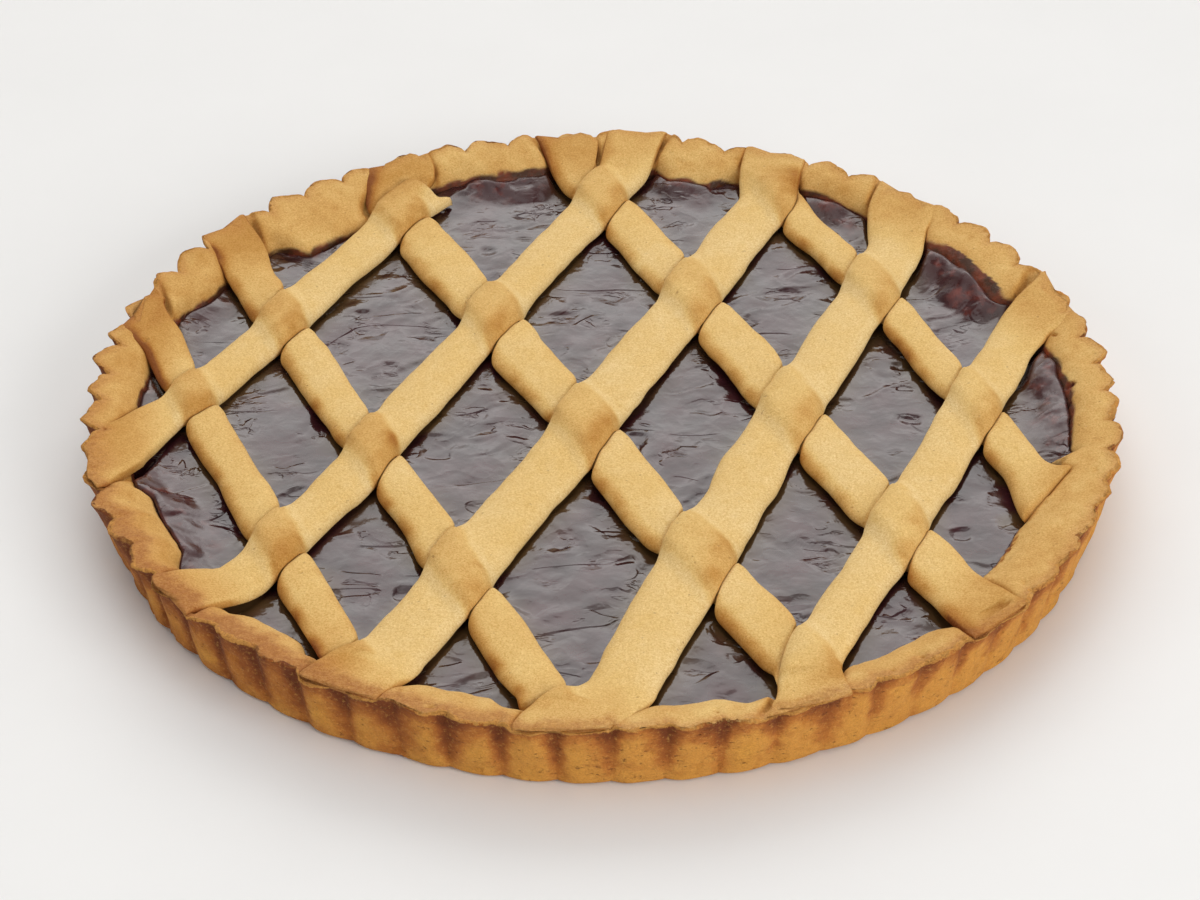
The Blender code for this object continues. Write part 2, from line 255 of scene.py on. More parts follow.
# ------------------------------------------------------------------ strips in plan
def centre_line(strip, tag, samples=721):
    a0, r0, a1, r1, bow, sway, turn0, turn1, w0, w1 = strip
    start = r0 * R * np.array([math.cos(math.radians(a0)), math.sin(math.radians(a0))])
    end = r1 * R * np.array([math.cos(math.radians(a1)), math.sin(math.radians(a1))])
    length = np.linalg.norm(end - start)
    along = (end - start) / length
    across = np.array([along[1], -along[0]])
    s = np.linspace(0.0, 1.0, samples)
    off = 0.001 * (bow * np.sin(math.pi * s) + sway * np.sin(2 * math.pi * s))
    line = start + np.outer(s * length, along) + np.outer(off, across)
    share = np.linalg.norm(line, axis=1) / R
    rim = smooth((share - RIM_START) / (RIM_END - RIM_START))
    turn = np.radians(np.where(s < 0.5, turn0, turn1)) * rim
    c, n = np.cos(turn), np.sin(turn)
    line = np.stack([line[:, 0] * c - line[:, 1] * n, line[:, 0] * n + line[:, 1] * c], 1)
    way = np.gradient(line, axis=0)
    way /= np.linalg.norm(way, axis=1)[:, None]
    right = np.stack([way[:, 1], -way[:, 0]], 1)
    out = line / np.linalg.norm(line, axis=1)[:, None]
    round_rim = np.stack([-out[:, 1], out[:, 0]], 1)
    round_rim *= np.sign((round_rim * right).sum(1))[:, None]
    side = right * (1 - rim)[:, None] + round_rim * rim[:, None]
    side /= np.linalg.norm(side, axis=1)[:, None]
    half = 0.0005 * (w0 + (w1 - w0) * s) * (1 + (END_FLARE - 1) * rim)
    step = np.linalg.norm(np.diff(line, axis=0), axis=1)
    run = np.concatenate([[0.0], np.cumsum(step)])
    if strip is UNDER[4]:
        tail = smooth((run - run[-1] + FISHTAIL_LENGTH) / FISHTAIL_LENGTH)
        aim = -np.array(FISHTAIL_SIDE)
        side = side * (1 - tail)[:, None] + aim * tail[:, None]
        side /= np.linalg.norm(side, axis=1)[:, None]
        half = half * (1 + (FISHTAIL_FLARE - 0.30) * tail)
    # Hand-cut edges: the width and the middle line wander a little off the rim.
    loose = 1 - smooth((np.linalg.norm(line, axis=1) / R - 0.84) / 0.06)
    lane = flat(run, np.zeros(samples), tag)
    half = half * (1 + loose * (0.070 * noise(lane, 0.013, 3) + 0.020 * noise(lane, 0.005, 4)))
    line = line + right * (0.0009 * loose * noise(lane, 0.021, 8))[:, None]
    way = np.gradient(line, axis=0)
    way /= np.linalg.norm(way, axis=1)[:, None]
    lean = np.clip(np.abs((side * right).sum(1)), 0.62, 1.0)
    data = {"line": line, "way": way, "side": side, "half": half / lean, "rim": rim,
            "run": run, "share": np.linalg.norm(line, axis=1) / R}
    # The same line drawn on past an end that reaches the outline.
    pace = run[-1] / (samples - 1)
    more = int(0.011 / pace)
    first = more if r0 > 0.97 else 0
    last = more if r1 > 0.97 else 0
    back = line[0] - np.outer(np.arange(first, 0, -1) * pace, way[0])
    on = line[-1] + np.outer(np.arange(1, last + 1) * pace, way[-1])
    whole = np.concatenate([back, line, on])
    data["path"] = whole
    data["path_way"] = np.concatenate([np.tile(way[0], (first, 1)), way, np.tile(way[-1], (last, 1))])
    data["path_half"] = np.concatenate([np.full(first, half[0]), half, np.full(last, half[-1])])
    data["chord"] = (start, along, length, first, pace)
    return data


LINES = {}
for number, strip in enumerate(OVER, 1):
    LINES["over_%d" % number] = centre_line(strip, number * 0.37 + 1.9)
for number, strip in enumerate(UNDER, 1):
    LINES["under_%d" % number] = centre_line(strip, number * 0.37)
OVER_KEYS = ["over_%d" % n for n in range(1, 6)]
UNDER_KEYS = ["under_%d" % n for n in range(1, 6)]


def beside(key, x, y):
    """Signed distance across a strip's middle line, the half width there, and how
    far a point lies past either of the strip's ends."""
    data = LINES[key]
    path, way, half = data["path"], data["path_way"], data["path_half"]
    start, along, length, first, pace = data["chord"]
    count = len(path)
    near = first + ((x - start[0]) * along[0] + (y - start[1]) * along[1]) / pace
    index = np.clip(near.astype(int), 0, count - 1)
    for _ in range(4):
        dx, dy = x - path[index, 0], y - path[index, 1]
        move = (dx * way[index, 0] + dy * way[index, 1]) / pace
        index = np.clip(index + np.round(move).astype(int), 0, count - 1)
    dx, dy = x - path[index, 0], y - path[index, 1]
    u = dx * way[index, 1] - dy * way[index, 0]
    past = np.abs(dx * way[index, 0] + dy * way[index, 1])
    past = np.where((index == 0) | (index == count - 1), np.maximum(past - pace, 0), 0)
    return u, half[index], past


def outside(key, x, y):
    """Distance outside a strip's edge in plan, negative under or on the strip."""
    u, half, past = beside(key, x, y)
    apart = np.where(past > 0, np.hypot(np.maximum(np.abs(u) - half, 0), past),
                     np.abs(u) - half)
    if key == "under_5":
        end = LINES[key]["line"][-1]
        beyond = (x - end[0]) * FISHTAIL_SIDE[1] - (y - end[1]) * FISHTAIL_SIDE[0]
        close = np.hypot(x - end[0], y - end[1]) < 0.016
        side_run = np.abs((x - end[0]) * FISHTAIL_SIDE[0] + (y - end[1]) * FISHTAIL_SIDE[1])
        wide = side_run - LINES[key]["half"][-1]
        at_end = np.maximum(beyond, np.where(beyond > -0.004, wide, -1.0))
        apart = np.where(close, np.maximum(np.minimum(apart, at_end + 0.0005), at_end), apart)
    return apart


def under_top(x, y):
    """0 to 1: how fully an under strip lifts what lies on it here."""
    lift = np.zeros_like(x)
    outer_part = smooth((np.hypot(x, y) / R - 0.90) / 0.05)
    for key in UNDER_KEYS:
        lift = np.maximum(lift, 1 - smooth((outside(key, x, y) + 0.0040)
                                           / (0.0072 + 0.0100 * outer_part)))
    return lift


def over_edge(x, y):
    """Distance outside the nearest over strip."""
    near = np.full_like(x, 1.0)
    for key in OVER_KEYS:
        near = np.minimum(near, outside(key, x, y))
    return near


def over_press(edge):
    """0 to 1: how fully an over strip presses an under strip down here."""
    return 1 - smooth((edge + 0.0008) / 0.0020)


def section(v, boxy):
    """Share of a strip's height reached at the share v of its half width."""
    c = np.clip(v, 0, 1) ** ((2.7 + 4.6 * boxy) / 2)
    return 0.36 + 0.64 * np.sqrt(np.clip(1 - c * c, 0, 1)) ** (2 / (2.4 + 2.6 * boxy))


def under_surface(x, y):
    """Top of the under strips where they cross below an over strip."""
    top = np.full_like(x, STRIP_UNDER - 0.004)
    for key in UNDER_KEYS:
        u, half, past = beside(key, x, y)
        v = np.abs(u) / (half * (1 - TUCK)) + past / 0.003
        crown = soft_max(np.full_like(x, STRIP_TOP), plateau(x, y), 0.002) - SQUASH
        base = seat_height(x, y)
        z = base + (crown - base) * section(v, 0.0)
        top = np.maximum(top, np.where(v < 1, z, STRIP_UNDER - 0.004))
    return top


def seat_height(x, y):
    """Underside of a strip: on the jam, then in its seat on the rim, and thin where
    it ends on the outline."""
    r = np.hypot(x, y)
    inward = outline(np.arctan2(y, x)) - r
    on_rim = plateau(x, y) - 0.0033 + 0.0023 * smooth((0.0050 - inward) / 0.0036)
    return soft_max(np.full_like(x, STRIP_UNDER), on_rim, 0.002)


# ------------------------------------------------------------------ mesh making
def make_mesh(name, points, quads, triangles=None, values=None):
    mesh = bpy.data.meshes.new(name)
    quads = np.asarray(quads, np.int32).reshape(-1, 4)
    triangles = np.zeros((0, 3), np.int32) if triangles is None else np.asarray(
        triangles, np.int32).reshape(-1, 3)
    mesh.vertices.add(len(points))
    mesh.vertices.foreach_set("co", np.asarray(points, np.float32).ravel())
    loops = np.concatenate([quads.ravel(), triangles.ravel()])
    mesh.loops.add(len(loops))
    mesh.loops.foreach_set("vertex_index", loops)
    starts = np.concatenate([np.arange(len(quads)) * 4,
                             len(quads) * 4 + np.arange(len(triangles)) * 3])
    mesh.polygons.add(len(starts))
    mesh.polygons.foreach_set("loop_start", starts.astype(np.int32))
    mesh.update(calc_edges=True)
    mesh.validate()
    mesh.shade_smooth()
    for label, numbers in (values or {}).items():
        layer = mesh.attributes.new(label, "FLOAT", "POINT")
        layer.data.foreach_set("value", np.asarray(numbers, np.float32))
    made = bpy.data.objects.new(name, mesh)
    bpy.context.scene.collection.objects.link(made)
    return made


def ring_quads(rows, columns, flip=False):
    """Quads between consecutive closed rings of points."""
    i = np.arange(rows - 1)[:, None] * columns
    j = np.arange(columns)[None, :]
    k = (j + 1) % columns
    quads = np.stack([i + j, i + k, i + columns + k, i + columns + j], -1).reshape(-1, 4)
    return quads[:, ::-1] if flip else quads


# ------------------------------------------------------------------ shell
def shell_top(x, y, inner):
    """The rim's top with a seat under each strip end and rounded shoulders."""
    r = np.hypot(x, y)
    out = outline(np.arctan2(y, x))
    q = np.clip((out - r) / (out - inner), 0.0, 1.0)
    top = plateau(x, y)
    z = 0.0126 + (top - 0.0126) * np.sqrt(np.clip(1 - q ** 4.2, 0, 1))
    near = np.full_like(x, 1.0)
    for key in OVER_KEYS + UNDER_KEYS:
        near = np.minimum(near, outside(key, x, y))
    inside = np.clip(1 - near / 0.0014, 0, 1)
    z = z - 0.0008 * (1 - np.sqrt(np.clip(1 - inside ** 2, 0, 1)))
    seat = seat_height(x, y) - 0.00003
    z = np.where(near < 0, np.minimum(z, seat + (z - seat) * (1 - smooth(-near / 0.0007))), z)
    return z, near


def shell_object():
    columns = FLUTES * 18
    theta = FIRST_NOTCH + 2 * math.pi * np.arange(columns) / columns
    lobe, rise, tooth = flute(theta)
    out = outline(theta)
    cos, sin = np.cos(theta), np.sin(theta)
    inner = rim_inner(theta)
    lip = 0.0006
    rows, kinds = [], []

    def add(r, z, kind):
        rows.append(np.stack([r * cos, r * sin, z], 1))
        kinds.append(np.full(columns, float(kind)))

    # Below a strip's end the wall runs straight up to the strip.
    covered = np.full(columns, 1.0)
    for key in OVER_KEYS + UNDER_KEYS:
        covered = np.minimum(covered, outside(key, (out - lip) * cos, (out - lip) * sin))
    free = 1 - 0.85 * smooth(-covered / 0.0010)
    lip, turn_up = lip * free, 0.0005 * free
    crest_r = out - lip
    crest_z, seat = shell_top(crest_r * cos, crest_r * sin, inner)
    wall_height = crest_z - turn_up
    foot = 0.0012

    def wall_r(z):
        t = np.clip(z / wall_height, 0, 1)
        base = R * (FOOT_SHARE + (1 - FOOT_SHARE) * t ** 0.85)
        depth = FOOT_DEPTH + (FLUTE_DEPTH - FOOT_DEPTH) * (0.35 * t + 0.65 * t ** 4)
        shift = out - (R + FLUTE_DEPTH * rise)
        return base + depth * rise + shift * (0.25 * t + 0.75 * t ** 4)

    foot_r = wall_r(np.full(columns, foot))
    for share in (0.35, 0.75, 0.95):
        add(foot_r * share, np.zeros(columns), 0)
    for angle in (0.0, 30.0, 60.0):
        a = math.radians(angle)
        add(foot_r - foot + foot * math.sin(a), np.full(columns, foot) * (1 - math.cos(a)), 0.5)
    wall_count = 28
    for step in range(wall_count):
        t = step / (wall_count - 1)
        z = foot + (wall_height - foot) * (1 - (1 - t) ** 1.5)
        add(wall_r(z), z, 1)
    for angle in (25.0, 50.0, 75.0):
        a = math.radians(angle)
        add(out - lip + lip * math.cos(a), crest_z - turn_up + turn_up * math.sin(a), 2)
    top_count = 33
    for step in range(top_count):
        t = step / (top_count - 1)
        r = crest_r + (inner - crest_r) * (0.35 * t + 0.65 * (1 - (1 - t) ** 1.7))
        z, _ = shell_top(r * cos, r * sin, inner)
        add(r, z, 3)
    for z in (0.0118, 0.0108):
        add(inner, np.full(columns, z), 5)
    add(inner, np.full(columns, 0.0050), 6)
    add(inner * 0.5, np.full(columns, 0.0045), 6)

    points = np.concatenate(rows)
    kind = np.concatenate(kinds)
    count = len(rows)
    th = np.tile(theta, count)
    rs = np.tile(rise, count)
    tooth_all = np.tile(tooth, count)
    crest_all = np.tile(crest_z, count)
    r = np.hypot(points[:, 0], points[:, 1])

    # Crumbly relief on the wall, a broken line along the trimmed top edge, pits.
    radial = np.stack([np.cos(th), np.sin(th), np.zeros_like(th)], 1)
    on_wall = ((kind >= 1) & (kind <= 2)).astype(float)
    below = crest_all - points[:, 2]
    grit = 0.00034 * fbm(points, 0.0050, 3, 4, 0.6) + 0.00050 * noise(points, 0.010, 6)
    pit = noise(points, 0.0023, 19)
    grit -= 0.00050 * smooth((pit - 0.50) / 0.2) * smooth((noise(points, 0.012, 20) + 0.25) / 0.3)
    ragged = 0.0006 + 0.0008 * fbm(points * np.array([1, 1, 0.2]), 0.0050, 33, 3) \
        + 0.0004 * noise(points * np.array([1, 1, 0.2]), 0.0011, 35)
    line = np.exp(-((below - ragged) / 0.00060) ** 2) * on_wall
    crumbs = 0.5 + 0.5 * fbm(points, 0.0013, 44, 2, 0.7)
    present = smooth((noise(points * np.array([1, 1, 0.3]), 0.010, 45) + 0.55) / 0.5)
    grit += line * present * (0.00006 + 0.00050 * crumbs)
    under_line = smooth((below - ragged - 0.0003) / 0.0006) * np.exp(
        -np.maximum(below - ragged, 0) / 0.0030)
    grit -= 0.00028 * under_line * present
    foot_zone = np.exp(-points[:, 2] / 0.0012)
    grit += foot_zone * 0.0005 * fbm(points, 0.003, 51, 3)
    points += radial * (grit * on_wall)[:, None]
    # Fine unevenness of the rim's top.
    on_top = smooth((kind - 1.5) / 1.0) * (kind < 4.5)
    points[:, 2] += on_top * (0.00020 * fbm(points, 0.0040, 61, 3) + 0.00022 * noise(points, 0.0095, 64)
                              + 0.00005 * noise(points, 0.0009, 62))
    band = np.exp(-np.maximum(np.tile(out, count) - r, 0) / 0.0022)
    under_end = np.full(len(points), 1.0)
    for key in OVER_KEYS + UNDER_KEYS:
        under_end = np.minimum(under_end, outside(key, points[:, 0], points[:, 1]))
    band = band * smooth(1 + under_end / 0.0010)
    points[:, 2] += on_top * band * 0.00042 * fbm(points, 0.0024, 63, 3, 0.65)
    hole = noise(points, 0.0034, 71)
    points[:, 2] -= on_top * 0.0005 * smooth((hole - 0.82) / 0.10)
    torn, torn_painted_shade = tears(points[:, 0], points[:, 1])
    points[:, 2] -= on_top * torn
    # The burnt, crumbly inner edge on the right, and rough edges at the windows.
    degrees = (np.degrees(th) + 180) % 360 - 180
    burnt = np.exp(-((degrees + 33 + 180) % 360 - 180) ** 2 / 7.0 ** 2)
    window = np.exp(-((degrees - 33 + 180) % 360 - 180) ** 2 / 9.0 ** 2)
    inner_edge = ((kind == 3) & (np.abs(r - np.tile(inner, count)) < 0.004)).astype(float)
    rough = fbm(points, 0.0022, 73, 3, 0.7)
    points[:, :2] += (radial[:, :2].T * (inner_edge * (burnt * 0.0011 + window * 0.0008) * rough)).T
    points[:, 2] += inner_edge * (burnt + 0.6 * window) * 0.0006 * rough

    quads = ring_quads(count, columns, flip=False)
    centre_low, centre_high = len(points), len(points) + 1
    points = np.concatenate([points, [[0, 0, 0.0]], [[0, 0, 0.0045]]])
    j = np.arange(columns)
    k = (j + 1) % columns
    last = (count - 1) * columns
    triangles = np.concatenate([np.stack([j, k, np.full(columns, centre_low)], 1)[:, ::-1],
                                np.stack([last + j, last + k, np.full(columns, centre_high)], 1)])

    # ---- masks for the baking colours, and for painted shade and light
    def full(values, low=0.0, high=0.0):
        return np.concatenate([values, [low, high]])

    h = np.clip(points[:-2, 2] / RIM_HEIGHT, 0, 1)
    p = points[:-2]
    valley = smooth((0.70 - rs) / 0.62)
    tone = tooth_values(tooth_all, 15)
    over_edge_run = np.where(kind < 2.6, np.where(kind < 0.6, 0.020, below),
                             -(np.tile(crest_r, count) - r))
    left = 0.5 - 0.5 * np.cos(th - math.radians(-20))
    # dark: darker in the flute valleys and towards the left. Partly browning, partly painted shade: in the
    # valleys where shade falls, and on the left side turned away from the front light. The random and
    # upper-wall terms are browning.
    dark = valley * (0.27 + 0.44 * smooth((h - 0.05) / 0.5)) + 0.28 * smooth((h - 0.45) / 0.4) \
        + 0.34 * fbm(p, 0.009, 91, 3) + 0.42 * left ** 2 + 0.60 * left - 0.37
    gold = smooth((rs - 0.45) / 0.4) * np.exp(-((h - 0.36 - 0.10 * (tone - 0.5)) / 0.22) ** 2) \
        * smooth((0.45 + 0.9 * (tone - 0.35) + 0.5 * fbm(p, 0.012, 95, 2)) / 0.9)
    gold = gold + 0.35 * (1 - smooth(h / 0.35)) * (1 - valley)
    # More gold towards the right and less towards the left: painted light from the front right, partly
    # browning.
    gold = gold * (1.15 - 0.85 * left)
    brown = 0.57 + 0.18 * fbm(p, 0.014, 97, 3) + 0.14 * fbm(p, 0.004, 98, 2) \
        - 0.06 * smooth((0.94 - r / R) / 0.05) \
        + 0.13 * np.exp(-((((degrees - 195) + 180) % 360 - 180) / 50.0) ** 2) \
        - 0.11 * np.exp(-((degrees + 92.0) / 30.0) ** 2) + 0.07 * np.exp(-((degrees + 50.0) / 15.0) ** 2)
    toast = toasting(p[:, 0], p[:, 1]) * (1 - np.clip(torn_painted_shade, 0, 1))
    near_all = np.full(len(p), 1.0)
    for key in OVER_KEYS + UNDER_KEYS:
        near_all = np.minimum(near_all, np.abs(outside(key, p[:, 0], p[:, 1])))
    # Painted shade in the groove where the rim's top dips beside a strip's edge, added to the brown tone.
    crease = np.exp(-near_all / 0.0007)
    brown = brown + 0.45 * crease * (kind > 2)
    # Tears darkened with painted shade in the holes.
    brown = np.maximum(brown, 1.20 * torn_painted_shade * (kind > 2))
    inmost = smooth((0.0026 - (r - np.tile(inner, count))) / 0.0012)
    scorched = inner_edge * burnt * inmost * smooth(0.45 + 1.5 * rough)
    brown = brown + 1.1 * scorched
    # How far up the inner face the jam has stained it, window by window.
    level = 0.0146 + 0.0056 * np.exp(-((degrees - 34) / 12.0) ** 2) \
        + 0.0028 * np.exp(-((degrees - 59) / 6.0) ** 2) + 0.0016 * np.exp(-((degrees - 78) / 7.0) ** 2) \
        + 0.0036 * np.exp(-((degrees - 102) / 9.0) ** 2) + 0.0042 * np.exp(-((degrees - 3) / 14.0) ** 2) \
        + 0.0018 * np.exp(-((np.abs(degrees) - 168) / 22.0) ** 2)
    stain = (kind > 2.5) * smooth((level + 0.0012 * fbm(p, 0.005, 99, 3) - p[:, 2]) / 0.0009)
    stain = stain * (r < np.tile(inner, count) + 0.0045)
    return make_mesh("shell_crust", points, quads, triangles, {
        "edge": full(over_edge_run * 1000, 20.0, -20.0), "dark": full(np.clip(dark, 0, 1.2), 0.4),
        "gold": full(np.clip(gold, 0, 1)), "crumb": full(np.clip(present, 0, 1)),
        "brown": full(np.clip(brown, 0, 1.5)), "stain": full(np.clip(stain, 0, 1)),
        "toast": full(toast)})


# ------------------------------------------------------------------ strips
def strip_object(key, name):
    data = LINES[key]
    over = key in OVER_KEYS
    number = int(key[-1])
    rows, around = int(data["run"][-1] / 0.00060), 56
    run = np.linspace(0, data["run"][-1], rows)
    pick = lambda values: np.interp(run, data["run"], values)
    line = np.stack([pick(data["line"][:, 0]), pick(data["line"][:, 1])], 1)
    side = np.stack([pick(data["side"][:, 0]), pick(data["side"][:, 1])], 1)
    side /= np.linalg.norm(side, axis=1)[:, None]
    way = np.stack([pick(data["way"][:, 0]), pick(data["way"][:, 1])], 1)
    half = pick(data["half"])
    share = pick(data["share"])
    loose = 1 - smooth((share - 0.84) / 0.06)
    # An end that stops on the jam or under another strip is rounded off.
    taper = np.ones(rows)
    reach = 0.0010 if key == "under_5" else 0.0030
    if data["share"][0] < 0.97:
        taper *= np.sqrt(np.clip(1 - (1 - np.clip(run / reach, 0, 1)) ** 2, 0, 1))
    if data["share"][-1] < 0.97:
        taper *= np.sqrt(np.clip(1 - (1 - np.clip((run[-1] - run) / reach, 0, 1)) ** 2, 0, 1))
    half = half * (0.93 + 0.07 * taper)

    phi = 2 * math.pi * (np.arange(around) + 0.5) / around
    boxy = smooth((share - 0.89) / 0.05)[:, None]
    c, s = np.cos(phi)[None, :], np.sin(phi)[None, :]
    cx = np.sign(c) * np.abs(c) ** (2 / (2.7 + 4.6 * boxy))
    cz = np.sign(s) * np.abs(s) ** (2 / (2.4 + 2.6 * boxy))
    w = np.where(cz > 0, 0.36 + 0.64 * cz, 0.36 + 0.36 * cz)
    cx = np.where(cz < 0, cx * (1 - 0.09 * np.abs(cz)), cx)

    across = half[:, None] * cx
    slide = np.zeros((rows, around))
    if key == "over_1":
        # The far end is torn: a ragged edge with a small point at its right corner.
        end = smooth((run - run[-1] + 0.007) / 0.007)[:, None]
        v = across / half[-1]
        ragged = noise(flat(across.ravel(), np.zeros(across.size)), 0.0022, 17).reshape(across.shape)
        slide = end * (0.0008 * ragged + 0.0016 * np.exp(-((v - 0.82) / 0.16) ** 2) - 0.0008 * v)

    def place(across):
        x = line[:, 0, None] + side[:, 0, None] * across + way[:, 0, None] * slide
        y = line[:, 1, None] + side[:, 1, None] * across + way[:, 1, None] * slide
        return x, y

    x, y = place(across)
    if over:
        lift = under_top(x.ravel(), y.ravel()).reshape(x.shape)
        x, y = place(across * (1 + (0.09 * lift - 0.03) * loose[:, None]))
    else:
        gap = over_edge(x.ravel(), y.ravel()).reshape(x.shape)
        round_in = 1 - np.clip(gap / 0.0044, 0, 1)
        x, y = place(across * (1 - TUCK * (1 - np.sqrt(np.clip(1 - round_in ** 2, 0, 1)))))
    # On the rim the end follows the fluted outline.
    theta = np.arctan2(y, x)
    out = outline(theta.ravel()).reshape(theta.shape) - 0.00010
    at_rim = smooth((share - 0.91) / (RIM_END - 0.91))[:, None]
    stretch = 1 + at_rim * ((out - 0.0004) / (RIM_END * R) - 1)
    x, y = x * stretch, y * stretch
    fx, fy = x.ravel(), y.ravel()

    top = plateau(fx, fy)
    crown = soft_max(np.full_like(fx, STRIP_TOP), top + 0.00008, 0.002)
    below = seat_height(fx, fy)
    rim_part = smooth((np.hypot(fx, fy) / R - 0.88) / 0.08)
    if over:
        lift = under_top(fx, fy)
        crown = crown + BUMP * (1 - 0.50 * rim_part) * lift
        below = soft_max(below, under_surface(fx, fy) + 0.00005, 0.0008)
        edge = None
    else:
        edge = over_edge(fx, fy)
        lift = over_press(edge)
        crown = crown - (SQUASH - 0.0003 * rim_part) * lift
    # The end is pressed into the rim.
    below = below - 0.00045 * smooth((np.hypot(fx, fy) / R - 0.93) / 0.04)
    spread = flat(fx, fy, 0.4 if over else 0.9)
    crown = crown + 0.00018 * noise(spread, 0.011, 21 + number) + 0.00008 * noise(spread, 0.0035, 23)
    crown = soft_min(crown, np.full_like(crown, 0.0220), 0.0006)
    height = np.maximum(crown - below, 0.0007) * np.repeat(0.25 + 0.75 * taper, around)
    wz = w.ravel()
    z = below + height * wz
    z -= edge_round(fx, fy) * smooth((wz - 0.3) / 0.5)
    solid = np.stack([fx, fy, z], 1)
    z = z + 0.00004 * noise(solid, 0.0008, 29) * (wz > 0.36)
    band = np.exp(-np.maximum(out.ravel() - np.hypot(fx, fy), 0) / 0.0022)
    z = z + band * 0.00042 * fbm(solid, 0.0024, 63, 3, 0.65) * smooth((wz - 0.3) / 0.4)
    torn, torn_painted_shade = tears(fx, fy)
    z -= torn * smooth((wz - 0.5) / 0.3)
    points = np.stack([fx, fy, z], 1)

    quads = ring_quads(rows, around, flip=True)
    first, last = len(points), len(points) + 1
    ends = np.stack([points[:around].mean(0), points[-around:].mean(0)])
    j = np.arange(around)
    k = (j + 1) % around
    base = (rows - 1) * around
    triangles = np.concatenate([np.stack([j, k, np.full(around, first)], 1),
                                np.stack([base + j, base + k, np.full(around, last)], 1)[:, ::-1]])
    points = np.concatenate([points, ends])

    # ---- masks; +u is the strip's right hand side seen along its run
    u = cx.ravel()
    rr = np.hypot(fx, fy) / R
    blotch = fbm(spread, 0.016, 81, 3)
    patch = fbm(spread, 0.006, 83, 2)
    side_edge = smooth((np.abs(u) - 0.45) / 0.5)
    loose_all = np.repeat(loose, around)
    if over:
        level = smooth((lift - 0.30 + 0.12 * patch) / 0.48)
        pale = smooth((lift - 0.02) / 0.10) * (1 - level)
        glow = smooth((u - 0.02) / 0.70) * (1 - 0.45 * smooth((u - 0.84) / 0.16)) * level
        brown = 0.17 + (0.13 + 0.17 * smooth((0.45 - fx / R) / 0.9)) * level - 0.09 * pale \
            + 0.31 * glow * (0.9 + 0.9 * patch) \
            - 0.10 * smooth((u - 0.55) / 0.35) * (1 - level)
    else:
        glow = np.where(u > 0, smooth((u - 0.46) / 0.50), 0.12 * side_edge)
        brown = 0.18 - 0.20 * smooth(lift / 0.25) + 0.62 * glow * (0.9 + 0.7 * patch) \
            * (1 - 0.6 * smooth(lift / 0.6)) + 0.13 * smooth((rr - 0.55) / 0.25)
    turned = np.degrees(np.arctan2(fy, fx))
    front = np.exp(-((turned + 92.0) / 32.0) ** 2)
    west = np.exp(-((((turned - 185.0) + 180) % 360 - 180) / 30.0) ** 2)
    brown = brown + (0.42 - 0.16 * front + 0.10 * west) * smooth((rr - 0.83) / 0.13) + 0.08 * smooth((0.30 - fx / R) / 1.2) \
        + 0.16 * blotch + 0.07 * patch
    brown = brown + 0.16 * (1 - smooth(wz / 0.40))
    toast = toasting(fx, fy)
    face = smooth((rr * R - out.ravel() + 0.0013) / 0.0006) * smooth((0.80 - wz) / 0.3)
    brown = brown + 0.12 * face
    toast = np.maximum(toast, 0.30 * face)
    # Painted shade along the strip's sides where its end meets the rim, added to the brown tone.
    painted_seam_shade = smooth((rr - 0.90) / 0.03) * smooth((np.abs(u) - 0.93) / 0.06)
    brown = brown + 0.30 * painted_seam_shade
    # Tears darkened with painted shade in the holes.
    brown = np.maximum(brown, 1.05 * torn_painted_shade)
    toast = toast * (1 - np.clip(torn_painted_shade, 0, 1))
    full = lambda values: np.concatenate([values, [values[:around].mean(), values[-around:].mean()]])
    return make_mesh(name, points, quads, triangles, {
        "brown": full(np.clip(brown, 0, 1.5)), "toast": full(toast)})


